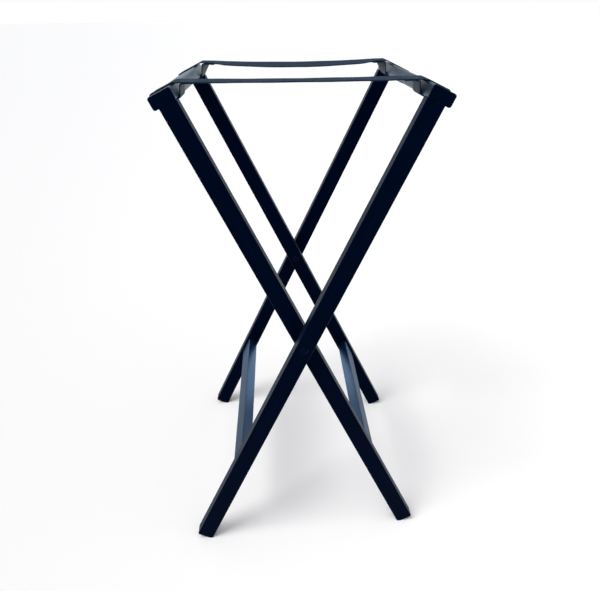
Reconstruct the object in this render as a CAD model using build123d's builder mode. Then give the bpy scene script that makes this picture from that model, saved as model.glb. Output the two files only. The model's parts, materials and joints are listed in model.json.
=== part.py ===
"""Folding tray stand: two crossed wooden frames on a bolted pivot, held open by two webbing straps."""

import os
from math import cos, hypot, radians, sin

from build123d import *

os.makedirs("parts", exist_ok=True)

# Driving dimensions, in millimetres and degrees.
# The origin is on the floor under the pivot: X across the stand, Y along the pivot, Z up.

# Frames
half_angle = 26.0  # lean of each frame from upright, with the straps taut
frame_depth = 472.0  # outer frame, from the front leg's face to the rear leg's face
leg_width = 28.5  # across the fold
leg_thick = 24.0  # along the pivot
leg_edge_round = 2.0
leg_length = 850.0  # before the foot is planed; the pivot is at its middle
foot_flat = 4.0  # depth planed off the foot's low corner, level with the floor
foot_round = 3.5

# Top rails, flush with the legs' inner sides and with their outside faces
rail_width = 36.5  # across the leg
rail_thick = 20.5  # along the leg
rail_edge_round = 3.5
rail_end_round = 2.0

# Lower stretchers, centred on the legs
stretcher_width = 37.0  # along the leg
stretcher_thick = 19.0  # across the leg
stretcher_edge_round = 1.5
stretcher_drop = 254.0  # pivot to the stretcher's middle, along the leg

# Dowels in the stretcher ends
dowel_diameter = 8.0
dowel_spacing = 18.0
dowel_in_leg = 16.0
dowel_in_stretcher = 24.0
dowel_chamfer = 0.8

# Rail screws and the plugs over their heads
screw_diameter = 4.5
screw_head_diameter = 9.0
screw_head_height = 2.8
screw_grip = 38.0  # length in the leg
screw_point = 5.0
screw_tip_diameter = 1.0
plug_diameter = 10.0
plug_depth = 5.0

# Pivot hardware
bolt_diameter = 5.0
bolt_neck = 5.4  # side of the square neck
bolt_neck_length = 3.5
bolt_in_nut = 11.0
nut_barrel_diameter = 7.0
nut_barrel_in_leg = 15.0
nut_socket = 4.0  # across the flats of the hex socket
nut_socket_depth = 2.2
head_diameter = 13.0  # of the bolt and of the nut
head_height = 2.4
head_rim_height = 0.8
head_bevel = 1.8
spacer_diameter = 16.0
spacer_thick = 1.2
washer_diameter = 15.0
washer_thick = 1.2

# Straps
strap_width = 50.0
strap_thick = 1.8
front_strap_inset = 78.0  # from the outer frame's face to the middle of the strap
rear_strap_inset = 86.0
front_strap_sag = 1.5
rear_strap_sag = 6.0
strap_tail_reach = 5.0  # where the tail meets the span, inboard of the rail's low edge
strap_tail_length = 20.0  # sewn to the underside of the span
strap_tail_bend = 3.0
strap_sewn_press = 0.1  # how far the seam pulls its two plies into each other
strap_seam_margin = 10.0  # straight run left between the seam and the sagging middle

# Clearances
bolt_clearance = 0.08  # bolt and barrel in the legs, on the radius
turn_clearance = 0.1  # between faces that turn on each other
fixed_clearance = 0.05  # pieces that stay put in their holes
end_clearance = 1.0  # past the blind end of the bolt and of the nut's barrel
strap_clearance = 0.3  # strap round a rail

# Worked out from the above
lean = radians(half_angle)
pivot_to_end = leg_length / 2
pivot_height = pivot_to_end * cos(lean) + leg_width / 2 * sin(lean) - foot_flat
leg_gap = spacer_thick + 2 * turn_clearance
outer_face = frame_depth / 2
inner_face = outer_face - leg_thick - leg_gap
rail_inner = -leg_width / 2
rail_outer = rail_inner + rail_width
rail_top = pivot_to_end + rail_thick
screw_bore_depth = plug_depth + screw_head_height
nut_seat = inner_face - leg_thick - turn_clearance - washer_thick
nut_barrel_length = washer_thick + turn_clearance + nut_barrel_in_leg
strap_sewn_pitch = strap_thick - strap_sewn_press

OUTER = 1  # leans to +X at the top
INNER = -1  # leans to -X at the top
FRONT = -1
REAR = 1


def save(builder, name):
    """Label a finished piece and write its file."""
    builder.part.label = name
    export_step(builder.part, f"parts/{name}.step")


def along_leg(frame):
    """Unit direction up a frame's legs."""
    return Vector(frame * sin(lean), 0, cos(lean))


def across_leg(frame):
    """Unit direction across a frame's legs, towards +X."""
    return Vector(cos(lean), 0, -frame * sin(lean))


def leg_plane(frame, side, y):
    """Plane square to the pivot at side * y, facing away from the middle, with Y up the leg."""
    return Plane(origin=(0, side * y, pivot_height), x_dir=across_leg(frame) * -side, z_dir=(0, side, 0))


def inward_plane(frame, side, y):
    """The same plane, facing the middle."""
    return Plane(origin=(0, side * y, pivot_height), x_dir=across_leg(frame) * side, z_dir=(0, -side, 0))


def leg_end_plane(frame, height):
    """Plane square to the legs at a distance above the pivot, with X along the pivot."""
    return Plane(
        origin=Vector(0, 0, pivot_height) + along_leg(frame) * height,
        x_dir=(0, 1, 0),
        z_dir=along_leg(frame),
    )


def build_leg(name, frame, side, face):
    """One leg: a planed batten with a rounded foot, bored for the pivot, dowels and rail screw."""
    leg_axis = Axis((0, 0, pivot_height), along_leg(frame))
    with BuildPart() as leg:
        with BuildSketch(leg_plane(frame, side, face)):
            Rectangle(leg_width, leg_length)
        extrude(amount=-leg_thick)
        fillet(leg.edges().filter_by(leg_axis), radius=leg_edge_round)
        fillet(leg.faces().sort_by(leg_axis)[0].edges(), radius=foot_round)
        split(bisect_by=Plane.XY)
        with Locations(leg_plane(frame, side, face)):
            Hole(radius=bolt_diameter / 2 + bolt_clearance)
        if frame == OUTER:
            with BuildSketch(leg_plane(frame, side, face)):
                Rectangle(bolt_neck + 2 * fixed_clearance, bolt_neck + 2 * fixed_clearance)
            extrude(amount=-bolt_neck_length, mode=Mode.SUBTRACT)
        else:
            with Locations(inward_plane(frame, side, face - leg_thick)):
                Hole(
                    radius=nut_barrel_diameter / 2 + bolt_clearance,
                    depth=nut_barrel_in_leg + end_clearance,
                )
        with Locations(inward_plane(frame, side, face - leg_thick)):
            with Locations((0, -stretcher_drop)):
                with GridLocations(0, dowel_spacing, 1, 2):
                    Hole(radius=dowel_diameter / 2 + fixed_clearance, depth=dowel_in_leg)
        with Locations(leg_end_plane(frame, pivot_to_end)):
            with Locations((side * (face - leg_thick / 2), 0)):
                Hole(radius=screw_diameter / 2 + fixed_clearance, depth=screw_grip + screw_point)
    save(leg, name)


def build_rail(name, frame, face):
    """A top rail: a round-edged bar across both leg ends, counterbored for its screws."""
    with BuildPart() as rail:
        with BuildSketch(leg_plane(frame, FRONT, face)) as section:
            with Locations((frame * (rail_inner + rail_outer) / 2, pivot_to_end + rail_thick / 2)):
                Rectangle(rail_width, rail_thick)
            fillet(section.vertices(), radius=rail_edge_round)
        extrude(amount=-2 * face)
        ends = rail.faces().filter_by(Axis.Y)
        fillet(ends.edges(), radius=rail_end_round)
        with Locations(leg_end_plane(frame, rail_top)):
            with GridLocations(2 * face - leg_thick, 0, 2, 1):
                CounterBoreHole(
                    radius=screw_diameter / 2 + fixed_clearance,
                    counter_bore_radius=plug_diameter / 2 + fixed_clearance,
                    counter_bore_depth=screw_bore_depth,
                )
    save(rail, name)


def build_stretcher(name, frame, face):
    """A lower stretcher: a bar on edge between the legs' facing sides, bored for its dowels."""
    end = face - leg_thick
    with BuildPart() as stretcher:
        with BuildSketch(leg_plane(frame, FRONT, end)) as section:
            with Locations((0, -stretcher_drop)):
                Rectangle(stretcher_thick, stretcher_width)
            fillet(section.vertices(), radius=stretcher_edge_round)
        extrude(amount=-2 * end)
        for side in (FRONT, REAR):
            with Locations(leg_plane(frame, side, end)):
                with Locations((0, -stretcher_drop)):
                    with GridLocations(0, dowel_spacing, 1, 2):
                        Hole(radius=dowel_diameter / 2 + fixed_clearance, depth=dowel_in_stretcher)
    save(stretcher, name)


def build_dowels(name, frame, face):
    """The four dowels of a stretcher, half in the legs."""
    end = face - leg_thick
    with BuildPart() as dowels:
        for side in (FRONT, REAR):
            with BuildSketch(leg_plane(frame, side, end + dowel_in_leg)):
                with Locations((0, -stretcher_drop)):
                    with GridLocations(0, dowel_spacing, 1, 2):
                        Circle(dowel_diameter / 2)
            extrude(amount=-(dowel_in_leg + dowel_in_stretcher))
        chamfer(dowels.edges().filter_by(GeomType.CIRCLE), length=dowel_chamfer)
    save(dowels, name)


def build_screws(name, frame, face):
    """The two screws of a rail: flat head, plain shank and a point."""
    spread = 2 * face - leg_thick
    shank_length = rail_thick - screw_bore_depth + screw_grip
    head_plane = leg_end_plane(frame, rail_top - plug_depth)
    shank_plane = head_plane.offset(-screw_head_height)
    point_plane = shank_plane.offset(-shank_length)
    with BuildPart() as screws:
        with BuildSketch(head_plane):
            with GridLocations(spread, 0, 2, 1):
                Circle(screw_head_diameter / 2)
        extrude(amount=-screw_head_height)
        with BuildSketch(shank_plane):
            with GridLocations(spread, 0, 2, 1):
                Circle(screw_diameter / 2)
        extrude(amount=-shank_length)
        with Locations(point_plane.offset(-screw_point)):
            with GridLocations(spread, 0, 2, 1):
                Cone(
                    bottom_radius=screw_tip_diameter / 2,
                    top_radius=screw_diameter / 2,
                    height=screw_point,
                    align=(Align.CENTER, Align.CENTER, Align.MIN),
                )
    save(screws, name)


def build_plugs(name, frame, face):
    """The two wood plugs over a rail's screw heads, flush with its top."""
    with BuildPart() as plugs:
        with BuildSketch(leg_end_plane(frame, rail_top)):
            with GridLocations(2 * face - leg_thick, 0, 2, 1):
                Circle(plug_diameter / 2)
        extrude(amount=-plug_depth)
    save(plugs, name)


def build_frame(prefix, frame, face):
    """All the pieces of one frame."""
    build_leg(f"{prefix}_leg_front", frame, FRONT, face)
    build_leg(f"{prefix}_leg_rear", frame, REAR, face)
    build_rail(f"{prefix}_top_rail", frame, face)
    build_stretcher(f"{prefix}_stretcher", frame, face)
    build_dowels(f"{prefix}_stretcher_dowels", frame, face)
    build_screws(f"{prefix}_rail_screws", frame, face)
    build_plugs(f"{prefix}_rail_plugs", frame, face)


def head_profile(seat):
    """Half section of the low bevelled head that the bolt and the nut share, standing on its seat."""
    radius = head_diameter / 2
    section = Plane(origin=seat.origin, x_dir=seat.x_dir, z_dir=seat.x_dir.cross(seat.z_dir))
    with BuildSketch(section) as profile:
        with BuildLine():
            Polyline(
                (0, 0),
                (radius, 0),
                (radius, head_rim_height),
                (radius - head_bevel, head_height),
                (0, head_height),
                close=True,
            )
        make_face()
    return profile.sketch


def build_bolt(name, side):
    """A pivot bolt: low head, square neck in the outer leg, and a shank into the nut's barrel."""
    seat = leg_plane(OUTER, side, outer_face)
    length = outer_face - nut_seat - nut_barrel_length + bolt_in_nut
    profile = head_profile(seat)
    with BuildPart() as bolt:
        revolve(profile, axis=Axis(seat.origin, seat.z_dir))
        with BuildSketch(seat):
            Rectangle(bolt_neck, bolt_neck)
        extrude(amount=-bolt_neck_length)
        with BuildSketch(seat.offset(-bolt_neck_length)):
            Circle(bolt_diameter / 2)
        extrude(amount=bolt_neck_length - length)
    save(bolt, name)


def build_ring(name, side, y, thickness, diameter, hole_diameter):
    """A flat washer on the pivot, from y towards the middle."""
    with BuildPart() as ring:
        with BuildSketch(leg_plane(OUTER, side, y)):
            Circle(diameter / 2)
            Circle(hole_diameter / 2 + fixed_clearance, mode=Mode.SUBTRACT)
        extrude(amount=-thickness)
    save(ring, name)


def build_nut(name, side):
    """A connector nut: low head with a hex socket, and a barrel in the inner leg that takes the bolt."""
    seat = inward_plane(OUTER, side, nut_seat)
    profile = head_profile(seat)
    with BuildPart() as nut:
        revolve(profile, axis=Axis(seat.origin, seat.z_dir))
        with BuildSketch(seat):
            Circle(nut_barrel_diameter / 2)
        extrude(amount=-nut_barrel_length)
        with BuildSketch(seat.offset(head_height)):
            RegularPolygon(nut_socket / 2, 6, major_radius=False)
        extrude(amount=-nut_socket_depth, mode=Mode.SUBTRACT)
        with Locations(leg_plane(OUTER, side, nut_seat + nut_barrel_length)):
            Hole(radius=bolt_diameter / 2 + fixed_clearance, depth=bolt_in_nut + end_clearance)
    save(nut, name)


def build_pivot(prefix, side):
    """The hardware of one pivot, from the bolt's head to the nut's."""
    build_bolt(f"{prefix}_pivot_bolt", side)
    spacer_face = outer_face - leg_thick - turn_clearance
    build_ring(f"{prefix}_leg_spacer", side, spacer_face, spacer_thick, spacer_diameter, bolt_diameter)
    washer_face = nut_seat + washer_thick
    washer_hole = nut_barrel_diameter
    build_ring(f"{prefix}_nut_washer", side, washer_face, washer_thick, washer_diameter, washer_hole)
    build_nut(f"{prefix}_cap_nut", side)


def rail_corner(height, across):
    """X and Z of a point beside the outer rail, from its place along and across the leg."""
    corner = along_leg(OUTER) * height + across_leg(OUTER) * across
    return Vector(corner.X, pivot_height + corner.Z)


def opposite(point):
    """The same point on the -X side."""
    return Vector(-point.X, point.Y)


def strap_route(sag):
    """Middle lines of a strap, as points and bend radii: the span, and the loop round the +X rail."""
    reach = strap_clearance + strap_thick / 2
    low_inner = rail_corner(pivot_to_end - reach, rail_inner - reach)
    low_outer = rail_corner(pivot_to_end - reach, rail_outer + reach)
    top_outer = rail_corner(rail_top + reach, rail_outer + reach)
    corner_bend = rail_edge_round + reach
    edge_middle = rail_corner(rail_top - rail_edge_round, rail_inner + rail_edge_round)
    span_level = edge_middle.Y + corner_bend - pivot_height
    span_start = ((rail_top + reach) * cos(lean) - span_level) / sin(lean)
    top_inner = rail_corner(rail_top + reach, span_start)
    top_middle = (top_outer + top_inner) / 2
    join_x = low_inner.X - strap_tail_reach
    tail_x = join_x - strap_tail_length
    sag_half = tail_x - strap_seam_margin
    slope = sag / (top_inner.X - sag_half / 2)

    def under_span(x):
        drop = slope * (top_inner.X - x) + strap_sewn_pitch * hypot(1, slope)
        return Vector(x, top_inner.Y - drop)

    sag_point = Vector(0, top_inner.Y - slope * top_inner.X)
    sag_radius = sag_half * hypot(1, slope) / slope
    span = [top_middle, top_inner, sag_point, opposite(top_inner), opposite(top_middle)]
    span_bends = [corner_bend, sag_radius, corner_bend]
    loop = [top_middle, top_outer, low_outer, low_inner, under_span(join_x), under_span(tail_x)]
    loop_bends = [corner_bend, corner_bend, corner_bend, strap_tail_bend]
    return span, span_bends, loop, loop_bends


def build_strap(name, side, inset, sag):
    """A webbing strap, looped round both rails with its tails sewn under the span."""
    span, span_bends, loop, loop_bends = strap_route(sag)
    rear_edge = side * (outer_face - inset) + strap_width / 2
    with BuildPart() as strap:
        with BuildSketch(Plane.XZ.offset(-rear_edge)):
            with BuildLine():
                FilletPolyline(*span, radius=span_bends)
            trace(line_width=strap_thick)
            with BuildLine():
                FilletPolyline(*loop, radius=loop_bends)
            trace(line_width=strap_thick)
            with BuildLine():
                FilletPolyline(*[opposite(point) for point in loop], radius=loop_bends)
            trace(line_width=strap_thick)
        extrude(amount=strap_width)
    save(strap, name)


build_frame("outer", OUTER, outer_face)
build_frame("inner", INNER, inner_face)
build_pivot("front", FRONT)
build_pivot("rear", REAR)
build_strap("front_strap", FRONT, front_strap_inset, front_strap_sag)
build_strap("rear_strap", REAR, rear_strap_inset, rear_strap_sag)
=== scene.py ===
"""Dress the folding tray stand: lacquered wood, pivot fixings, webbing straps and their stitches."""

import json
import math
from collections import namedtuple

import bmesh
import bpy
from bpy.props import FloatProperty, FloatVectorProperty, IntProperty, PointerProperty
from mathutils import Matrix, Vector


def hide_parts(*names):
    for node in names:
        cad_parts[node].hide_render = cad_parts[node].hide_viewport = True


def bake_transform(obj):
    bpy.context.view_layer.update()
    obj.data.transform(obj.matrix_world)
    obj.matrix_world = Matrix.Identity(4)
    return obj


bl_info = {
    "name": "Folding tray stand",
    "version": (1, 0, 0),
    "blender": (4, 5, 0),
    "location": "3D View > Sidebar > Tray stand",
    "description": "Finishes the stand's wood and fixings, and makes its sewn webbing straps",
    "category": "Object",
}

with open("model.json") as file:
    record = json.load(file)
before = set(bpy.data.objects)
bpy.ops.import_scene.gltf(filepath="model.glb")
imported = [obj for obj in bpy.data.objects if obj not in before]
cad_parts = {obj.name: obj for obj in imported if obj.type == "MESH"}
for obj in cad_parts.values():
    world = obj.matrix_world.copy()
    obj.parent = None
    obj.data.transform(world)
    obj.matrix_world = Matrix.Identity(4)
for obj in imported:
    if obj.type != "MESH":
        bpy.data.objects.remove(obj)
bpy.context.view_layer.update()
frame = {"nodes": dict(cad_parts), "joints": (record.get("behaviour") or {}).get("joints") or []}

MM = 0.001
PHOTO_WIDTH = 600
SENSOR_WIDTH = 36.0
PIVOT = Vector(frame["joints"][0]["pos_m"])

StrapPlan = namedtuple("StrapPlan", "name y sag skew crown tail")
Gloss = namedtuple("Gloss", "roughness ior haze")

OUTER_LEGS = ("outer_leg_front", "outer_leg_rear")
INNER_LEGS = ("inner_leg_front", "inner_leg_rear")
RAILS = ("outer_top_rail", "inner_top_rail")
STRETCHERS = ("outer_stretcher", "inner_stretcher")
PLUGS = ("outer_rail_plugs", "inner_rail_plugs")
DOWELS = ("outer_stretcher_dowels", "inner_stretcher_dowels")
SCREWS = ("outer_rail_screws", "inner_rail_screws")
SPACERS = ("front_leg_spacer", "rear_leg_spacer")
BLACK_STEEL = (
    "front_pivot_bolt",
    "rear_pivot_bolt",
    "front_nut_washer",
    "rear_nut_washer",
    "front_cap_nut",
    "rear_cap_nut",
)

# The lacquer's gloss, matched to the object piece by piece.
LEG_GLOSS = Gloss(roughness=0.44, ior=1.14, haze=0.12)
RAIL_GLOSS = Gloss(roughness=0.3, ior=1.22, haze=0.3)
STRETCHER_GLOSS = Gloss(roughness=0.3, ior=1.08, haze=0.25)

# Steps of a sewn end's straight runs, from the tail's tip to the cut, of each bend and of the span.
END_STEPS = (14, 6, 16, 8, 16, 22)
BEND_STEPS = 6
SPAN_STEPS = 66
# Steps from the middle of the webbing to the end of its flat, and of one side of a seam.
FLAT_STEPS = 5
SEAM_STEPS = 8
# The seam's side by the join stands this share of its margin away from it.
JOIN_MARGIN = 0.75
# Share of the thickness that is left at a tail's heat-sealed tip.
TIP_SHARE = 0.2
# The webbing ripples along and across its length, within a slower swell, and lies still at the rails.
RIPPLE_ALONG = 21 * MM
RIPPLE_ACROSS = 17 * MM
SWELL_ALONG = 34 * MM
SWELL_PHASE = 1.3
RIPPLE_FADE = 4
# The webbing's edges are shaded as edges where faces meet at more than this.
SHARP_ANGLE = math.radians(60)

# The soft light's tones from the level up: a white skyline, grey walls and a pale ceiling.
WALL_TONES = (
    (0.0, "#FFFFFF"),
    (0.03, "#FFFFFF"),
    (0.09, "#B4B8BD"),
    (0.25, "#B7BABF"),
    (0.6, "#CDCFD1"),
    (1.0, "#E2E2E2"),
)
# The surround turns from white at the skyline to its own colour between these heights.
SKYLINE = 0.03
SURROUND_FROM = 0.12


def linear(hex_colour):
    """Turn an sRGB hex colour into linear red, green and blue."""
    parts = [int(hex_colour[i : i + 2], 16) / 255 for i in (1, 3, 5)]
    return tuple(c / 12.92 if c <= 0.04045 else ((c + 0.055) / 1.055) ** 2.4 for c in parts)


def rgba(colour):
    """Give a colour property an alpha of one, as a shader's socket takes it."""
    return (*colour, 1.0)


def length(name, description, millimetres):
    """A length in the panel, given in millimetres and kept in metres."""
    return FloatProperty(
        name=name, description=description, default=millimetres * MM, unit="LENGTH", precision=5
    )


def colour(name, description, hex_colour):
    """A colour in the panel, given as sRGB hex and kept linear."""
    return FloatVectorProperty(
        name=name,
        description=description,
        default=linear(hex_colour),
        size=3,
        subtype="COLOR",
        min=0,
        max=1,
    )


def angle(name, description, degrees):
    """An angle in the panel, given in degrees and kept in radians."""
    return FloatProperty(
        name=name, description=description, default=math.radians(degrees), subtype="ANGLE"
    )


class StrapSizes(bpy.types.PropertyGroup):
    """Sizes of the two webbing straps."""

    lean: angle("Lean", "How far each frame leans from upright", 26)
    front_offset: length("Front offset", "From the middle of the rails to the front strap's middle", 162)
    rear_offset: length("Rear offset", "From the middle of the rails to the rear strap's middle", 150)
    width: length("Width", "Width of the webbing", 50)
    thickness: length("Thickness", "Thickness of the webbing", 1.8)
    rail_gap: length("Rail gap", "Room between the webbing and the rail", 0.3)
    edge_round: length("Edge round", "Radius of the rail's long edges", 3.5)
    tail_length: length("Tail length", "Length of the tail sewn under the span", 22)
    tail_bend: length("Tail bend", "Bend where the tail turns under the span", 3)
    tail_taper: length("Tail taper", "Length over which the tail's heat-sealed tip thins out", 20)
    sewn_gap: length("Sewn gap", "Room between the two sewn layers", 0.05)
    fold_cut: length("Fold cut", "From the middle to where a sewn end meets the span", 130)
    fold_start: length("Fold start", "From the middle to where a sewn end starts to bend in folding", 176)
    fold_reach: length("Fold reach", "Length over which a sewn end would turn fully", 210)
    front_sag: FloatVectorProperty(
        name="Front strap sag",
        description="Drop at mid span of the front strap's front and rear edges",
        default=(1.4 * MM, 1.4 * MM),
        size=2,
        unit="LENGTH",
    )
    rear_sag: FloatVectorProperty(
        name="Rear strap sag",
        description="Drop at mid span of the rear strap's front and rear edges",
        default=(9.5 * MM, 3.9 * MM),
        size=2,
        unit="LENGTH",
    )
    front_tail: FloatVectorProperty(
        name="Front tail reach",
        description="From the rail's low edge in to the front strap's tails at their front and rear edges",
        default=(0.3 * MM, 0.8 * MM),
        size=2,
        unit="LENGTH",
    )
    rear_tail: FloatVectorProperty(
        name="Rear tail reach",
        description="From the rail's low edge in to the rear strap's tails at their front and rear edges",
        default=(1.0 * MM, 12.0 * MM),
        size=2,
        unit="LENGTH",
    )
    front_skew: length("Front skew", "How far the front strap's outer end sits forward of its middle", 6)
    rear_skew: length("Rear skew", "How far the rear strap's outer end sits forward of its middle", 9)
    front_crown: length("Front crown", "How far the front webbing runs past the rail before it levels", 3.6)
    rear_crown: length("Rear crown", "How far the rear webbing runs past the rail before it levels", 13)
    ripple: length("Ripple", "Height of the webbing's slow ripples", 0.25)


class StitchSizes(bpy.types.PropertyGroup):
    """Sizes of the box seams that close the strap's loops."""

    pitch: length("Pitch", "From one stitch to the next", 3.4)
    stitch: length("Stitch", "Length of the thread that shows in one stitch", 2.7)
    thread: length("Thread", "Thickness of the thread", 0.75)
    margin: length("Margin", "From the seam to the webbing's edges and ends", 4)
    turns: IntProperty(name="Turns", description="Sides of one stitch", default=8, min=4)


class Finishes(bpy.types.PropertyGroup):
    """Colours of the stand's finishes."""

    lacquer: colour("Lacquer", "Dark navy lacquer on the wood", "#00081B")
    lacquer_grain: colour("Lacquer grain", "Lacquer over the wood's raised grain", "#020C23")
    lacquer_gleam: colour("Lacquer gleam", "Tint of the lacquer's gleam, seen straight on", "#0A1630")
    haze: colour("Haze", "Cool haze on lacquer and webbing, seen at a shallow angle", "#62A8CF")
    webbing: colour("Webbing", "Yarn on top of the weave", "#1E2D42")
    # The weave's gaps take this darker colour as painted shade; the handling tone also darkens toward it.
    webbing_tone_and_gap_shade: colour("Webbing low", "Yarn down in the weave", "#0A1120")
    thread: colour("Thread", "Sewing thread", "#59616C")
    black_steel: colour("Black steel", "Black zinc on the pivot fixings", "#020B1E")
    black_steel_cloud: colour("Black steel cloud", "Paler clouds in the black zinc", "#06122A")
    zinc: colour("Zinc", "Bright zinc on the rail screws", "#B9BCC0")
    zinc_cloud: colour("Zinc cloud", "Darker clouds in the bright zinc", "#8F9296")
    nylon: colour("Nylon", "Black nylon of the leg spacers", "#141518")
    nylon_cloud: colour("Nylon cloud", "Paler clouds in the nylon", "#1D1E22")
    beech: colour("Beech", "Bare beech of the dowels", "#C9A074")
    beech_fleck: colour("Beech fleck", "Short dark flecks in the beech", "#9A6E45")
    floor: colour("Floor", "Pale studio floor", "#FDFCFC")


class StageSizes(bpy.types.PropertyGroup):
    """The camera's place and aim, and the studio's light."""

    camera: FloatVectorProperty(
        name="Camera",
        description="Place of the camera",
        default=(-36.1 * MM, -1155.2 * MM, 886.4 * MM),
        subtype="XYZ",
        unit="LENGTH",
    )
    yaw: angle("Yaw", "Turn of the camera to the right of straight back", 1.882)
    pitch: angle("Pitch", "Tilt of the camera below level", 23.793)
    roll: angle("Roll", "Roll of the camera", -0.821)
    focal_pixels: FloatProperty(
        name="Focal length", description="Focal length in the photograph's pixels", default=650.45
    )
    key_from: FloatVectorProperty(
        name="Key from",
        description="Direction that the key light comes from",
        default=(-0.62, -0.42, 1.0),
        subtype="DIRECTION",
    )
    key_strength: FloatProperty(name="Key strength", description="Strength of the key light", default=1.46)
    key_size: angle("Key size", "Angle that the key light fills, which softens its shadow", 34)
    bank_colour: colour("Bank colour", "Colour of the two cool banks of light behind", "#AAD3FF")
    bank_width: length("Bank width", "Width of each cool bank", 1000)
    bank_height: length("Bank height", "Height of each cool bank", 1200)
    bank_left: FloatProperty(name="Left bank", description="Power of the left cool bank", default=185.0)
    bank_right: FloatProperty(name="Right bank", description="Power of the right cool bank", default=118.0)
    bank_left_place: FloatVectorProperty(
        name="Left bank's place",
        description="Place of the left cool bank",
        default=(-1.0, 2.5, 1.41),
        subtype="XYZ",
        unit="LENGTH",
    )
    bank_right_place: FloatVectorProperty(
        name="Right bank's place",
        description="Place of the right cool bank",
        default=(1.08, 2.5, 1.28),
        subtype="XYZ",
        unit="LENGTH",
    )
    surround: colour("Surround", "Plain pale surround that the camera and the gloss see", "#E8F1FC")
    floor_reach: length("Floor reach", "From the stand to the floor's edges", 60000)


class TrayStand(bpy.types.PropertyGroup):
    """All settings of the tray stand."""

    strap: PointerProperty(type=StrapSizes, name="Straps", description="Sizes of the straps")
    stitch: PointerProperty(type=StitchSizes, name="Stitches", description="Sizes of the seams")
    finish: PointerProperty(type=Finishes, name="Finishes", description="Colours of the finishes")
    stage: PointerProperty(type=StageSizes, name="Stage", description="Camera and light")


def add_node(tree, kind, inputs=None, **settings):
    """Add a node with its settings; an input takes a value or another node's output."""
    node = tree.nodes.new(kind)
    for name, value in settings.items():
        setattr(node, name, value)
    for socket, value in (inputs or {}).items():
        if isinstance(value, bpy.types.NodeSocket):
            tree.links.new(value, node.inputs[socket])
        else:
            node.inputs[socket].default_value = value
    return node


def new_material(name):
    """Start a material with an empty tree."""
    made = bpy.data.materials.new(name)
    made.use_nodes = True
    made.node_tree.nodes.clear()
    return made, made.node_tree


def close_material(tree, shader_inputs):
    """End a material's tree with its shader and output."""
    shader = add_node(tree, "ShaderNodeBsdfPrincipled", shader_inputs)
    add_node(tree, "ShaderNodeOutputMaterial", {"Surface": shader.outputs["BSDF"]})


def lacquered_wood(name, finish, turn, gloss):
    """Satin lacquer sprayed on close-grained hardwood.

    It gives the eye a deep navy black with a soft gleam and a cool haze at a shallow angle, in which
    the grain shows as faint long lines and the spray as a very fine peel. turn lays the grain along
    the piece. The gloss differs from piece to piece, with how the lacquer took and how hands rubbed it.
    """
    made, tree = new_material(name)
    place = add_node(tree, "ShaderNodeTexCoord").outputs["Object"]
    turned = add_node(tree, "ShaderNodeMapping", {"Vector": place, "Rotation": turn}).outputs["Vector"]
    # Grain lines about 1.6 mm apart and 40 times as long.
    drawn = add_node(tree, "ShaderNodeMapping", {"Vector": turned, "Scale": (1, 1, 1 / 40)}).outputs["Vector"]
    grain = add_node(
        tree,
        "ShaderNodeTexNoise",
        {"Vector": drawn, "Scale": 1 / (1.6 * MM), "Detail": 3.0, "Roughness": 0.6, "Distortion": 0.3},
    ).outputs["Fac"]
    # Wider bands, about 14 mm, where the wood takes the lacquer a little differently.
    bands = add_node(
        tree, "ShaderNodeTexNoise", {"Vector": drawn, "Scale": 1 / (14 * MM), "Detail": 2.0}
    ).outputs["Fac"]
    # Spray peel, drawn at 1.2 mm, which is as fine as shows.
    peel = add_node(
        tree, "ShaderNodeTexNoise", {"Vector": place, "Scale": 1 / (1.2 * MM), "Detail": 1.0}
    ).outputs["Fac"]
    tone = add_node(
        tree,
        "ShaderNodeMapRange",
        {"Value": grain, "From Min": 0.35, "From Max": 0.75},
        interpolation_type="SMOOTHSTEP",
    ).outputs["Result"]
    shade = add_node(
        tree,
        "ShaderNodeMix",
        {"Factor": tone, "A": rgba(finish.lacquer), "B": rgba(finish.lacquer_grain)},
        data_type="RGBA",
    )
    rough = add_node(
        tree,
        "ShaderNodeMapRange",
        {
            "Value": bands,
            "From Min": 0.3,
            "From Max": 0.7,
            "To Min": gloss.roughness - 0.03,
            "To Max": gloss.roughness + 0.04,
        },
    ).outputs["Result"]
    relief = add_node(
        tree, "ShaderNodeMath", {0: grain, 1: 0.7, 2: peel}, operation="MULTIPLY_ADD"
    ).outputs["Value"]
    bump = add_node(
        tree, "ShaderNodeBump", {"Height": relief, "Strength": 0.25, "Distance": 0.05 * MM}
    ).outputs["Normal"]
    close_material(
        tree,
        {
            "Base Color": shade.outputs["Result"],
            "Roughness": rough,
            "IOR": gloss.ior,
            "Specular Tint": rgba(finish.lacquer_gleam),
            "Sheen Weight": gloss.haze,
            "Sheen Roughness": 0.3,
            "Sheen Tint": rgba(finish.haze),
            "Normal": bump,
        },
    )
    return made


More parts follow.
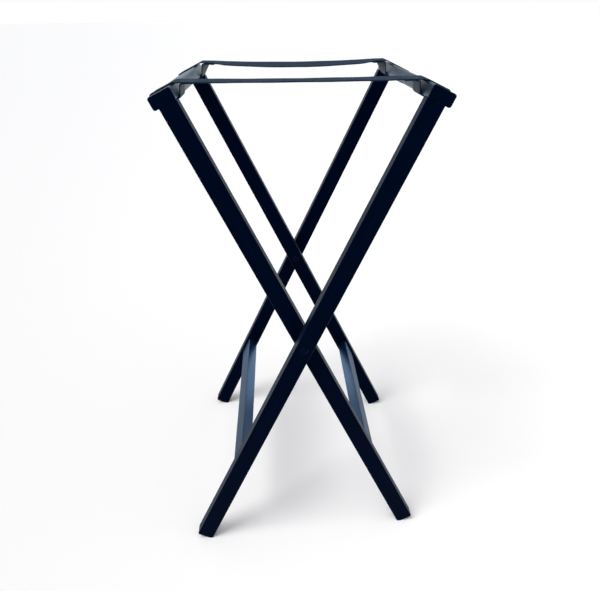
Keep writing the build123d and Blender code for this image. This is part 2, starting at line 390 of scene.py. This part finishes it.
def clouded(name, base, cloud, grit, roughness, metallic, relief):
    """A hard finish with a fine grit in its gloss and relief, and clouds of tone nine grits across."""
    made, tree = new_material(name)
    place = add_node(tree, "ShaderNodeTexCoord").outputs["Object"]
    fine = add_node(
        tree, "ShaderNodeTexNoise", {"Vector": place, "Scale": 1 / grit, "Detail": 4.0, "Roughness": 0.6}
    ).outputs["Fac"]
    slow = add_node(
        tree, "ShaderNodeTexNoise", {"Vector": place, "Scale": 1 / (grit * 9), "Detail": 2.0}
    ).outputs["Fac"]
    tone = add_node(
        tree, "ShaderNodeMapRange", {"Value": slow, "From Min": 0.35, "From Max": 0.7}
    ).outputs["Result"]
    shade = add_node(
        tree, "ShaderNodeMix", {"Factor": tone, "A": rgba(base), "B": rgba(cloud)}, data_type="RGBA"
    )
    rough = add_node(
        tree,
        "ShaderNodeMapRange",
        {
            "Value": fine,
            "From Min": 0.3,
            "From Max": 0.7,
            "To Min": roughness - 0.06,
            "To Max": roughness + 0.08,
        },
    ).outputs["Result"]
    bump = add_node(
        tree, "ShaderNodeBump", {"Height": fine, "Strength": 0.3, "Distance": relief}
    ).outputs["Normal"]
    close_material(
        tree,
        {
            "Base Color": shade.outputs["Result"],
            "Metallic": metallic,
            "Roughness": rough,
            "Normal": bump,
        },
    )
    return made


def bare_beech(finish):
    """Bare turned beech: pale tan, with short dark flecks along the grain and a dry, matt face."""
    made, tree = new_material("bare_beech")
    place = add_node(tree, "ShaderNodeTexCoord").outputs["Object"]
    drawn = add_node(tree, "ShaderNodeMapping", {"Vector": place, "Scale": (1, 1 / 12, 1)}).outputs["Vector"]
    # Flecks about 0.8 mm wide and 10 mm long.
    fleck = add_node(
        tree, "ShaderNodeTexNoise", {"Vector": drawn, "Scale": 1 / (0.8 * MM), "Detail": 2.0}
    ).outputs["Fac"]
    tone = add_node(
        tree, "ShaderNodeMapRange", {"Value": fleck, "From Min": 0.52, "From Max": 0.7}
    ).outputs["Result"]
    shade = add_node(
        tree,
        "ShaderNodeMix",
        {"Factor": tone, "A": rgba(finish.beech), "B": rgba(finish.beech_fleck)},
        data_type="RGBA",
    )
    rough = add_node(
        tree, "ShaderNodeMapRange", {"Value": fleck, "To Min": 0.6, "To Max": 0.75}
    ).outputs["Result"]
    bump = add_node(
        tree, "ShaderNodeBump", {"Height": fleck, "Strength": 0.3, "Distance": 0.05 * MM}
    ).outputs["Normal"]
    close_material(
        tree, {"Base Color": shade.outputs["Result"], "Roughness": rough, "IOR": 1.45, "Normal": bump}
    )
    return made


def woven_webbing(finish):
    """Woven polyester webbing: blue grey yarns over and under, with painted shade in the gaps, and a soft
    sheen.

    The weave follows the strap's own map, in metres along and across the webbing.
    """
    made, tree = new_material("woven_polyester_webbing")
    weave = add_node(tree, "ShaderNodeUVMap", uv_map="webbing").outputs["UV"]
    parts = add_node(tree, "ShaderNodeSeparateXYZ", {"Vector": weave})
    # Yarns are about 1.2 mm apart; they are drawn at 2.2 and 2.0 mm, so that the weave shows.
    waves = []
    for axis, pitch in (("X", 2.2 * MM), ("Y", 2.0 * MM)):
        phase = add_node(
            tree, "ShaderNodeMath", {0: parts.outputs[axis], 1: math.tau / pitch}, operation="MULTIPLY"
        ).outputs["Value"]
        waves.append(add_node(tree, "ShaderNodeMath", {0: phase}, operation="SINE").outputs["Value"])
    crossing = add_node(tree, "ShaderNodeMath", {0: waves[0], 1: waves[1]}, operation="MULTIPLY")
    lift = add_node(
        tree,
        "ShaderNodeMapRange",
        {"Value": crossing.outputs["Value"], "From Min": -1.0, "From Max": 1.0},
        interpolation_type="SMOOTHSTEP",
    ).outputs["Result"]
    # Handling leaves slow changes of tone, about 30 mm across.
    place = add_node(tree, "ShaderNodeTexCoord").outputs["Object"]
    worn = add_node(
        tree, "ShaderNodeTexNoise", {"Vector": place, "Scale": 1 / (30 * MM), "Detail": 3.0}
    ).outputs["Fac"]
    # The colour darkens with the handling tone, and with painted shade where the yarns dip into the gaps.
    mixed = add_node(
        tree, "ShaderNodeMath", {0: worn, 1: 0.5, 2: lift}, operation="MULTIPLY_ADD"
    ).outputs["Value"]
    tone = add_node(
        tree, "ShaderNodeMapRange", {"Value": mixed, "From Min": 0.1, "From Max": 1.3}
    ).outputs["Result"]
    shade = add_node(
        tree,
        "ShaderNodeMix",
        {"Factor": tone, "A": rgba(finish.webbing_tone_and_gap_shade), "B": rgba(finish.webbing)},
        data_type="RGBA",
    )
    # Beside the rails the webbing is pulled hard and pressed flat, so it is smoother and shines more.
    pressed = add_node(tree, "ShaderNodeAttribute", attribute_name="pressed").outputs["Fac"]
    loose = add_node(
        tree, "ShaderNodeMapRange", {"Value": lift, "To Min": 0.85, "To Max": 0.65}
    ).outputs["Result"]
    rough = add_node(
        tree, "ShaderNodeMapRange", {"Value": pressed, "To Min": loose, "To Max": 0.5}
    ).outputs["Result"]
    depth = add_node(
        tree, "ShaderNodeMapRange", {"Value": pressed, "To Min": 0.6, "To Max": 0.25}
    ).outputs["Result"]
    bump = add_node(
        tree, "ShaderNodeBump", {"Height": lift, "Strength": depth, "Distance": 0.35 * MM}
    ).outputs["Normal"]
    close_material(
        tree,
        {
            "Base Color": shade.outputs["Result"],
            "Roughness": rough,
            "IOR": 1.18,
            "Sheen Weight": 0.13,
            "Sheen Roughness": 0.4,
            "Sheen Tint": rgba(finish.haze),
            "Normal": bump,
        },
    )
    return made


def sewing_thread(finish):
    """Twisted polyester thread: a little lighter than the webbing, with a fine slanting twist and painted
    shade in its grooves.
    """
    made, tree = new_material("polyester_sewing_thread")
    place = add_node(tree, "ShaderNodeTexCoord").outputs["Object"]
    # The twist turns about every 0.6 mm.
    twist = add_node(
        tree,
        "ShaderNodeTexWave",
        {"Vector": place, "Scale": 1 / (0.6 * MM) / math.tau, "Distortion": 1.0},
        bands_direction="DIAGONAL",
    ).outputs["Fac"]
    # Painted shade: the twist's grooves take the webbing's darker colour.
    shade = add_node(
        tree,
        "ShaderNodeMix",
        {"Factor": twist, "A": rgba(finish.webbing), "B": rgba(finish.thread)},
        data_type="RGBA",
    )
    bump = add_node(
        tree, "ShaderNodeBump", {"Height": twist, "Strength": 0.3, "Distance": 0.1 * MM}
    ).outputs["Normal"]
    close_material(
        tree,
        {"Base Color": shade.outputs["Result"], "Roughness": 0.6, "Sheen Weight": 0.2, "Normal": bump},
    )
    return made


def paint(names, made):
    """Give CAD nodes a finish."""
    for name in names:
        mesh = frame["nodes"][name].data
        mesh.materials.clear()
        mesh.materials.append(made)


def rail_section(lean):
    """Measure the outer rail's section along and across its legs, from the pivot."""
    along = Vector((math.sin(lean), 0, math.cos(lean)))
    across = Vector((math.cos(lean), 0, -math.sin(lean)))
    corners = [vertex.co - PIVOT for vertex in frame["nodes"]["outer_top_rail"].data.vertices]
    heights = [corner.dot(along) for corner in corners]
    widths = [corner.dot(across) for corner in corners]
    return along, across, min(heights), max(heights), min(widths), max(widths)


def strap_corners(sizes, plan):
    """Find the corners of a sewn end's route beside the outer rail.

    A corner is X, Z and the shares of the span's sag and of the tail's reach that it takes.
    """
    along, across, low, top, inner, outer = rail_section(sizes.lean)
    reach = sizes.rail_gap + sizes.thickness / 2

    def beside(height, width):
        place = PIVOT + along * height + across * width
        return Vector((place.x, place.z, 0, 0))

    low_inner = beside(low - reach, inner - reach)
    low_outer = beside(low - reach, outer + reach)
    top_outer = beside(top + reach, outer + reach)
    # The webbing would level out at the rail's rounded edge; it is stiff, and runs on to its crown.
    edge = sizes.edge_round
    level = (top - edge) * math.cos(sizes.lean) - (inner + edge) * math.sin(sizes.lean) + edge + reach
    start = ((top + reach) * math.cos(sizes.lean) - level) / math.sin(sizes.lean)
    top_inner = beside(top + reach, start - plan.crown)
    under = top_inner.y - sizes.thickness - sizes.sewn_gap
    join = Vector((low_inner.x, under, 1, 1))
    tip = Vector((join.x - sizes.tail_length, under, 1, 1))
    cut = Vector((sizes.fold_cut, top_inner.y, 1, 0))
    return tip, join, low_inner, low_outer, top_outer, top_inner, cut


def follow(corners, bends):
    """Follow straight runs, each divided into its number of steps, with a bend at each corner."""
    stations = [corners[0]]
    leave = corners[0]
    for before, corner, after, bend, steps in zip(corners, corners[1:], corners[2:], bends, END_STEPS):
        back = before - corner
        ahead = after - corner
        turn = math.pi - back.xy.angle(ahead.xy)
        trim = bend * math.tan(turn / 2)
        arrive = corner + back * (trim / back.xy.length)
        stations += [leave.lerp(arrive, i / steps) for i in range(1, steps + 1)]
        leave = corner + ahead * (trim / ahead.xy.length)
        for i in range(1, BEND_STEPS + 1):
            share = i / BEND_STEPS
            stations.append(arrive.lerp(corner, share).lerp(corner.lerp(leave, share), share))
    steps = END_STEPS[-1]
    stations += [leave.lerp(corners[-1], i / steps) for i in range(1, steps + 1)]
    return stations


def strap_stations(sizes, plan):
    """List a strap's stations from tail to tail, and where its two sewn ends meet the span."""
    corners = strap_corners(sizes, plan)
    corner_bend = sizes.edge_round + sizes.rail_gap + sizes.thickness / 2
    bends = (sizes.tail_bend, *(corner_bend,) * 4)
    end = follow(corners, bends)
    cut = end[-1]
    span = [Vector((cut.x * (1 - 2 * i / SPAN_STEPS), cut.y, 1, 0)) for i in range(1, SPAN_STEPS)]
    other = [Vector((-station.x, *station.yzw)) for station in reversed(end)]
    return end + span + other, len(end) - 1, len(end) + len(span)


def strap_place(sizes, plan, half_span, station, across):
    """Place a station of a strap, with its sag, skew and tail, at a distance across the webbing."""
    edge = across / sizes.width + 0.5
    deepest = plan.sag[0] + (plan.sag[1] - plan.sag[0]) * edge
    slack = plan.tail[0] + (plan.tail[1] - plan.tail[0]) * edge
    x = station.x - math.copysign(station.w * slack, station.x)
    out = x / half_span
    bow = max(0.0, 1 - out**2)
    swell = math.sin(x / SWELL_ALONG + SWELL_PHASE)
    ripple = math.sin(x / RIPPLE_ALONG + across / RIPPLE_ACROSS) * swell
    drop = deepest * bow + sizes.ripple * ripple * min(1.0, bow * RIPPLE_FADE)
    return Vector((x, plan.y + across - plan.skew * out, station.y - station.z * drop))


def section_points(sizes):
    """List the webbing's section as places across it and half thicknesses there, with round edges."""
    half = sizes.thickness / 2
    flat = sizes.width / 2 - half
    edge = [(flat + half * math.sin(a), half * math.cos(a)) for a in (math.pi / 6, math.pi / 3)]
    middle = [(flat * (i / FLAT_STEPS - 1), half) for i in range(2 * FLAT_STEPS + 1)]
    left = [(-across, thick) for across, thick in reversed(edge)]
    return [(-sizes.width / 2, 0.0)] + left + middle + edge + [(sizes.width / 2, 0.0)]


def tail_share(sizes, from_tip):
    """Give the share of the webbing's thickness that is left near a heat-sealed tip."""
    return min(1.0, TIP_SHARE + (1 - TIP_SHARE) * from_tip / sizes.tail_taper)


def pressed_share(sizes, rise, from_tip):
    """Give how far the webbing is pressed flat, which it is where it rises beside the rail."""
    entered = (from_tip - sizes.tail_length) / sizes.tail_bend
    left = (sizes.tail_length + rise - from_tip) / sizes.tail_bend
    return max(0.0, min(1.0, entered, left))


def strap_lines(sizes, plan):
    """Work out a strap's upper and lower lines, its map, where it is pressed, and its two cuts."""
    stations, first_cut, second_cut = strap_stations(sizes, plan)
    _, join, low_inner, *_, top_inner, _ = strap_corners(sizes, plan)
    runs = [0.0]
    for before, after in zip(stations, stations[1:]):
        runs.append(runs[-1] + (after.xy - before.xy).length)
    from_tip = [min(run, runs[-1] - run) for run in runs]
    pressed = [pressed_share(sizes, join.y - low_inner.y, run) for run in from_tip]
    lines = []
    for across, thick in section_points(sizes):
        middle = [strap_place(sizes, plan, top_inner.x, station, across) for station in stations]
        above = []
        below = []
        for i, point in enumerate(middle):
            ahead = middle[min(i + 1, len(middle) - 1)] - middle[max(i - 1, 0)]
            share = tail_share(sizes, from_tip[i])
            normal = Vector((-ahead.z, 0, ahead.x)).normalized() * thick
            above.append(point + normal)
            below.append(point + normal * (1 - 2 * share))
        lines.append((across, above, below))
    return lines, runs, pressed, first_cut, second_cut


def strap_piece(name, lines, runs, pressed, first, last, made):
    """Make one closed length of webbing between two stations."""
    maker = bmesh.new()
    shine = maker.verts.layers.float.new("pressed")
    layer = maker.loops.layers.uv.new("webbing")
    rings = []
    for station in range(first, last + 1):
        ring = [(maker.verts.new(above[station]), across) for across, above, _ in lines]
        ring += [(maker.verts.new(below[station]), across) for across, _, below in lines[-2:0:-1]]
        for vert, _ in ring:
            vert[shine] = pressed[station]
        rings.append(ring)
    count = len(rings[0])
    for i, (ring, following) in enumerate(zip(rings, rings[1:])):
        for j in range(count):
            k = (j + 1) % count
            corners = [(ring[j], i), (following[j], i + 1), (following[k], i + 1), (ring[k], i)]
            face = maker.faces.new([corner[0][0] for corner in corners])
            face.smooth = True
            for loop, ((_, across), step) in zip(face.loops, corners):
                loop[layer].uv = (runs[first + step], across)
    for ring, step in ((rings[0], first), (rings[-1], last)):
        cap = maker.faces.new([vert for vert, _ in ring])
        for loop, (_, across) in zip(cap.loops, ring):
            loop[layer].uv = (runs[step], across)
    bmesh.ops.recalc_face_normals(maker, faces=maker.faces)
    mesh = bpy.data.meshes.new(name)
    maker.to_mesh(mesh)
    maker.free()
    mesh.set_sharp_from_angle(angle=SHARP_ANGLE)
    mesh.materials.append(made)
    piece = bpy.data.objects.new(name, mesh)
    bpy.context.scene.collection.objects.link(piece)
    return piece


def fold_piece(piece):
    """Bake a piece's placement into its mesh."""
    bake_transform(piece)


def strap_plans(sizes):
    """Give each strap's place along Y, sag, skew, crown and tail."""
    front = StrapPlan(
        name="front_strap",
        y=-sizes.front_offset,
        sag=sizes.front_sag,
        skew=sizes.front_skew,
        crown=sizes.front_crown,
        tail=sizes.front_tail,
    )
    rear = StrapPlan(
        name="rear_strap",
        y=sizes.rear_offset,
        sag=sizes.rear_sag,
        skew=sizes.rear_skew,
        crown=sizes.rear_crown,
        tail=sizes.rear_tail,
    )
    return front, rear


def seam_lines(sizes, stitch, plan, side):
    """Lay out a box seam with a cross in it on both faces of a sewn end."""
    tip, join, *_, top_inner, _ = strap_corners(sizes, plan)
    half = sizes.width / 2 - stitch.margin
    near = join.x - stitch.margin * JOIN_MARGIN
    far = tip.x + stitch.margin
    box = [(near, -half), (near, half), (far, half), (far, -half)]
    runs = [(box[i], box[(i + 1) % 4]) for i in range(4)]
    runs += [(box[0], box[2]), (box[1], box[3])]
    verts = []
    edges = []
    for upper in (True, False):
        for start, stop in runs:
            for i in range(SEAM_STEPS + 1):
                x = start[0] + (stop[0] - start[0]) * i / SEAM_STEPS
                across = start[1] + (stop[1] - start[1]) * i / SEAM_STEPS
                lift = sizes.thickness / 2
                if not upper:
                    lift = -lift - sizes.sewn_gap - sizes.thickness * tail_share(sizes, x - tip.x)
                station = Vector((x * side, top_inner.y, 1, 1))
                verts.append(strap_place(sizes, plan, top_inner.x, station, across) + Vector((0, 0, lift)))
                if i:
                    edges.append((len(verts) - 2, len(verts) - 1))
    return verts, edges


def stitch_tree(made):
    """Build the node tree that sets stitches along seam lines."""
    tree = bpy.data.node_groups.new("box_seam_stitches", "GeometryNodeTree")
    tree.interface.new_socket("Geometry", in_out="INPUT", socket_type="NodeSocketGeometry")
    sockets = {}
    for name in ("Pitch", "Stitch", "Thread"):
        socket = tree.interface.new_socket(name, in_out="INPUT", socket_type="NodeSocketFloat")
        sockets[name] = socket.identifier
    turns = tree.interface.new_socket("Turns", in_out="INPUT", socket_type="NodeSocketInt")
    sockets["Turns"] = turns.identifier
    tree.interface.new_socket("Geometry", in_out="OUTPUT", socket_type="NodeSocketGeometry")
    given = add_node(tree, "NodeGroupInput").outputs
    seams = add_node(tree, "GeometryNodeMeshToCurve", {"Mesh": given["Geometry"]}).outputs["Curve"]
    spaced = add_node(
        tree, "GeometryNodeResampleCurve", {"Curve": seams, "Length": given["Pitch"]}, mode="LENGTH"
    ).outputs["Curve"]
    ball = add_node(
        tree, "GeometryNodeMeshUVSphere", {"Segments": given["Turns"], "Rings": 5, "Radius": 0.5}
    ).outputs["Mesh"]
    shape = add_node(
        tree,
        "ShaderNodeCombineXYZ",
        {"X": given["Stitch"], "Y": given["Thread"], "Z": given["Thread"]},
    ).outputs["Vector"]
    stitch = add_node(tree, "GeometryNodeTransform", {"Geometry": ball, "Scale": shape}).outputs["Geometry"]
    tangent = add_node(tree, "GeometryNodeInputTangent").outputs["Tangent"]
    aim = add_node(tree, "FunctionNodeAlignRotationToVector", {"Vector": tangent}, axis="X")
    sewn = add_node(
        tree,
        "GeometryNodeInstanceOnPoints",
        {"Points": spaced, "Instance": stitch, "Rotation": aim.outputs["Rotation"]},
    ).outputs["Instances"]
    real = add_node(tree, "GeometryNodeRealizeInstances", {"Geometry": sewn}).outputs["Geometry"]
    finished = add_node(tree, "GeometryNodeSetMaterial", {"Geometry": real, "Material": made})
    add_node(tree, "NodeGroupOutput", {"Geometry": finished.outputs["Geometry"]})
    return tree, sockets


def sew(name, verts, edges, tree, sockets, stitch):
    """Set stitches along seam lines and keep them as a plain mesh."""
    guide = bpy.data.meshes.new(name + "_guide")
    guide.from_pydata(verts, edges, [])
    piece = bpy.data.objects.new(name, guide)
    bpy.context.scene.collection.objects.link(piece)
    modifier = piece.modifiers.new("Stitches", "NODES")
    modifier.node_group = tree
    modifier[sockets["Pitch"]] = stitch.pitch
    modifier[sockets["Stitch"]] = stitch.stitch
    modifier[sockets["Thread"]] = stitch.thread
    modifier[sockets["Turns"]] = stitch.turns
    graph = bpy.context.evaluated_depsgraph_get()
    mesh = bpy.data.meshes.new_from_object(piece.evaluated_get(graph))
    if not mesh.polygons:
        raise RuntimeError(name + " has no stitches")
    piece.modifiers.clear()
    piece.data = mesh
    bpy.data.meshes.remove(guide)
    mesh.name = name
    mesh.shade_smooth()
    return piece


class TRAYSTAND_OT_finish_wood(bpy.types.Operator):
    """Lacquer the legs, rails, stretchers and plugs, with the grain along each"""

    bl_idname = "tray_stand.finish_wood"
    bl_label = "Finish the wood"

    def execute(self, context):
        settings = context.scene.tray_stand
        finish = settings.finish
        lean = settings.strap.lean
        along_depth = (math.pi / 2, 0, 0)
        coats = (
            ("outer_legs", OUTER_LEGS, (0, -lean, 0), LEG_GLOSS),
            ("inner_legs", INNER_LEGS, (0, lean, 0), LEG_GLOSS),
            ("rails", RAILS + PLUGS, along_depth, RAIL_GLOSS),
            ("stretchers", STRETCHERS, along_depth, STRETCHER_GLOSS),
        )
        for name, nodes, turn, gloss in coats:
            paint(nodes, lacquered_wood("lacquered_wood_" + name, finish, turn, gloss))
        return {"FINISHED"}


class TRAYSTAND_OT_finish_fixings(bpy.types.Operator):
    """Finish the pivot bolts, nuts, washers and spacers, the screws and the dowels"""

    bl_idname = "tray_stand.finish_fixings"
    bl_label = "Finish the fixings"

    def execute(self, context):
        finish = context.scene.tray_stand.finish
        # Black zinc is a thin dark skin on turned steel: dark, with a soft metal gleam.
        black = clouded(
            "black_zinc_steel",
            finish.black_steel,
            finish.black_steel_cloud,
            grit=0.5 * MM,
            roughness=0.4,
            metallic=1.0,
            relief=0.02 * MM,
        )
        paint(BLACK_STEEL, black)
        # Bright zinc has a pale, slightly cloudy gleam.
        bright = clouded(
            "bright_zinc_steel",
            finish.zinc,
            finish.zinc_cloud,
            grit=0.4 * MM,
            roughness=0.32,
            metallic=1.0,
            relief=0.02 * MM,
        )
        paint(SCREWS, bright)
        # Moulded nylon is a dark, dull plastic with a fine moulded grain.
        nylon = clouded(
            "moulded_nylon",
            finish.nylon,
            finish.nylon_cloud,
            grit=0.3 * MM,
            roughness=0.55,
            metallic=0.0,
            relief=0.05 * MM,
        )
        paint(SPACERS, nylon)
        paint(DOWELS, bare_beech(finish))
        return {"FINISHED"}


class TRAYSTAND_OT_make_straps(bpy.types.Operator):
    """Make each webbing strap as a span and two sewn ends that loop round the rails"""

    bl_idname = "tray_stand.make_straps"
    bl_label = "Make the straps"

    def execute(self, context):
        settings = context.scene.tray_stand
        sizes = settings.strap
        made = woven_webbing(settings.finish)
        for plan in strap_plans(sizes):
            lines, runs, pressed, first_cut, second_cut = strap_lines(sizes, plan)
            parts = {
                "outer_end": (0, first_cut),
                "span": (first_cut, second_cut),
                "inner_end": (second_cut, len(runs) - 1),
            }
            for part, (first, last) in parts.items():
                piece = strap_piece(f"{plan.name}_{part}", lines, runs, pressed, first, last, made)
                fold_piece(piece)
                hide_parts(plan.name)
                piece["webbing_length"] = runs[last] - runs[first]
        return {"FINISHED"}


class TRAYSTAND_OT_sew_straps(bpy.types.Operator):
    """Sew the box seams that close the straps' loops"""

    bl_idname = "tray_stand.sew_straps"
    bl_label = "Sew the straps"

    def execute(self, context):
        settings = context.scene.tray_stand
        sizes = settings.strap
        tree, sockets = stitch_tree(sewing_thread(settings.finish))
        for plan in strap_plans(sizes):
            for part, side, rail in (("outer_end", 1, RAILS[0]), ("inner_end", -1, RAILS[1])):
                verts, edges = seam_lines(sizes, settings.stitch, plan, side)
                seam = sew(f"{plan.name}_{part}_stitches", verts, edges, tree, sockets, settings.stitch)
                fold_piece(seam)
        return {"FINISHED"}


class TRAYSTAND_OT_set_stage(bpy.types.Operator):
    """Set the floor, the studio's light and the camera"""

    bl_idname = "tray_stand.set_stage"
    bl_label = "Set the stage"

    def execute(self, context):
        settings = context.scene.tray_stand
        self.lay_floor(context, settings.finish, settings.stage.floor_reach)
        self.light(context, settings.stage)
        self.aim_camera(context, settings.stage)
        context.scene.view_settings.view_transform = "Standard"
        return {"FINISHED"}

    def lay_floor(self, context, finish, reach):
        """Lay a pale matt floor with a fine tooth, 2 mm across."""
        made, tree = new_material("pale_studio_floor")
        place = add_node(tree, "ShaderNodeTexCoord").outputs["Object"]
        tooth = add_node(tree, "ShaderNodeTexNoise", {"Vector": place, "Scale": 1 / (2 * MM)}).outputs["Fac"]
        rough = add_node(
            tree, "ShaderNodeMapRange", {"Value": tooth, "To Min": 0.9, "To Max": 1.0}
        ).outputs["Result"]
        matt = add_node(
            tree, "ShaderNodeBsdfDiffuse", {"Color": rgba(finish.floor), "Roughness": rough}
        ).outputs["BSDF"]
        add_node(tree, "ShaderNodeOutputMaterial", {"Surface": matt})
        mesh = bpy.data.meshes.new("studio_floor")
        corners = [(-reach, -reach, 0), (reach, -reach, 0), (reach, reach, 0), (-reach, reach, 0)]
        mesh.from_pydata(corners, [], [(0, 1, 2, 3)])
        mesh.materials.append(made)
        floor = bpy.data.objects.new("studio_floor", mesh)
        context.scene.collection.objects.link(floor)

    def light(self, context, stage):
        """Hang the soft key light and the cool banks, and set the room around."""
        key = bpy.data.lights.new("key_light", "SUN")
        key.energy = stage.key_strength
        key.angle = stage.key_size
        lamp = bpy.data.objects.new("key_light", key)
        lamp.rotation_euler = Vector(stage.key_from).to_track_quat("Z", "Y").to_euler()
        context.scene.collection.objects.link(lamp)
        self.hang_banks(context, stage)
        world = bpy.data.worlds.new("studio_surround")
        world.use_nodes = True
        context.scene.world = world
        tree = world.node_tree
        tree.nodes.clear()
        aim = add_node(tree, "ShaderNodeTexCoord").outputs["Generated"]
        height = add_node(tree, "ShaderNodeSeparateXYZ", {"Vector": aim}).outputs["Z"]
        walls = add_node(tree, "ShaderNodeValToRGB", {"Fac": height})
        ramp = walls.color_ramp.elements
        while len(ramp) < len(WALL_TONES):
            ramp.new(0.5)
        for stop, (level, tone) in zip(ramp, WALL_TONES):
            stop.position = level
            stop.color = rgba(linear(tone))
        # The camera and the gloss see a plain surround instead, white at the skyline and pale above it.
        risen = add_node(
            tree, "ShaderNodeMapRange", {"Value": height, "From Min": SKYLINE, "From Max": SURROUND_FROM}
        ).outputs["Result"]
        pale = add_node(
            tree,
            "ShaderNodeMix",
            {"Factor": risen, "A": rgba(linear("#FFFFFF")), "B": rgba(stage.surround)},
            data_type="RGBA",
        ).outputs["Result"]
        path = add_node(tree, "ShaderNodeLightPath").outputs
        direct = add_node(
            tree,
            "ShaderNodeMath",
            {0: path["Is Camera Ray"], 1: path["Is Glossy Ray"]},
            operation="MAXIMUM",
        ).outputs["Value"]
        seen = add_node(
            tree, "ShaderNodeMath", {0: direct, 1: path["Is Transmission Ray"]}, operation="MAXIMUM"
        ).outputs["Value"]
        around = add_node(
            tree,
            "ShaderNodeMix",
            {"Factor": seen, "A": walls.outputs["Color"], "B": pale},
            data_type="RGBA",
        )
        glow = add_node(tree, "ShaderNodeBackground", {"Color": around.outputs["Result"]})
        add_node(tree, "ShaderNodeOutputWorld", {"Surface": glow.outputs["Background"]})

    def hang_banks(self, context, stage):
        """Hang two cool banks of light behind the stand, screened so that only its stretchers get them."""
        lit = bpy.data.collections.new("lit_by_banks")
        for name in STRETCHERS:
            lit.objects.link(frame["nodes"][name])
        banks = (
            ("cool_bank_left", stage.bank_left_place, stage.bank_left),
            ("cool_bank_right", stage.bank_right_place, stage.bank_right),
        )
        for name, place, power in banks:
            bank = bpy.data.lights.new(name, "AREA")
            bank.shape = "RECTANGLE"
            bank.size = stage.bank_width
            bank.size_y = stage.bank_height
            bank.color = stage.bank_colour
            bank.energy = power
            lamp = bpy.data.objects.new(name, bank)
            lamp.location = place
            lamp.rotation_euler = Vector(place).to_track_quat("Z", "Y").to_euler()
            lamp.visible_camera = False
            lamp.light_linking.receiver_collection = lit
            context.scene.collection.objects.link(lamp)

    def aim_camera(self, context, stage):
        """Aim the camera as the photograph was taken."""
        ahead = Vector(
            (
                math.sin(stage.yaw) * math.cos(stage.pitch),
                math.cos(stage.yaw) * math.cos(stage.pitch),
                -math.sin(stage.pitch),
            )
        )
        level = Vector((math.cos(stage.yaw), -math.sin(stage.yaw), 0))
        upright = level.cross(ahead)
        right = math.cos(stage.roll) * level + math.sin(stage.roll) * upright
        up = math.cos(stage.roll) * upright - math.sin(stage.roll) * level
        lens = bpy.data.cameras.new("camera")
        lens.sensor_fit = "HORIZONTAL"
        lens.sensor_width = SENSOR_WIDTH
        lens.lens = stage.focal_pixels * SENSOR_WIDTH / PHOTO_WIDTH
        camera = bpy.data.objects.new("camera", lens)
        turn = Matrix((right, up, -ahead)).transposed().to_4x4()
        camera.matrix_world = Matrix.Translation(stage.camera) @ turn
        context.scene.collection.objects.link(camera)
        context.scene.camera = camera


STEPS = (
    TRAYSTAND_OT_finish_wood,
    TRAYSTAND_OT_finish_fixings,
    TRAYSTAND_OT_make_straps,
    TRAYSTAND_OT_sew_straps,
    TRAYSTAND_OT_set_stage,
)


class VIEW3D_PT_tray_stand(bpy.types.Panel):
    """The tray stand's steps and settings"""

    bl_idname = "VIEW3D_PT_tray_stand"
    bl_label = "Tray stand"
    bl_space_type = "VIEW_3D"
    bl_region_type = "UI"
    bl_category = "Tray stand"

    def draw(self, context):
        settings = context.scene.tray_stand
        for step in STEPS:
            self.layout.operator(step.bl_idname)
        for group in (settings.strap, settings.stitch, settings.finish, settings.stage):
            box = self.layout.box()
            for name in group.bl_rna.properties.keys():
                if name not in ("rna_type", "name"):
                    box.prop(group, name)


CLASSES = (StrapSizes, StitchSizes, Finishes, StageSizes, TrayStand, *STEPS, VIEW3D_PT_tray_stand)


def register():
    """Add the classes and the scene's settings."""
    for made in CLASSES:
        bpy.utils.register_class(made)
    bpy.types.Scene.tray_stand = PointerProperty(type=TrayStand)


def unregister():
    """Take the settings and the classes away again."""
    del bpy.types.Scene.tray_stand
    for made in reversed(CLASSES):
        bpy.utils.unregister_class(made)


def main():
    """Run every step in order."""
    register()
    bpy.ops.tray_stand.finish_wood()
    bpy.ops.tray_stand.finish_fixings()
    bpy.ops.tray_stand.make_straps()
    bpy.ops.tray_stand.sew_straps()
    bpy.ops.tray_stand.set_stage()


if __name__ == "__main__":
    main()
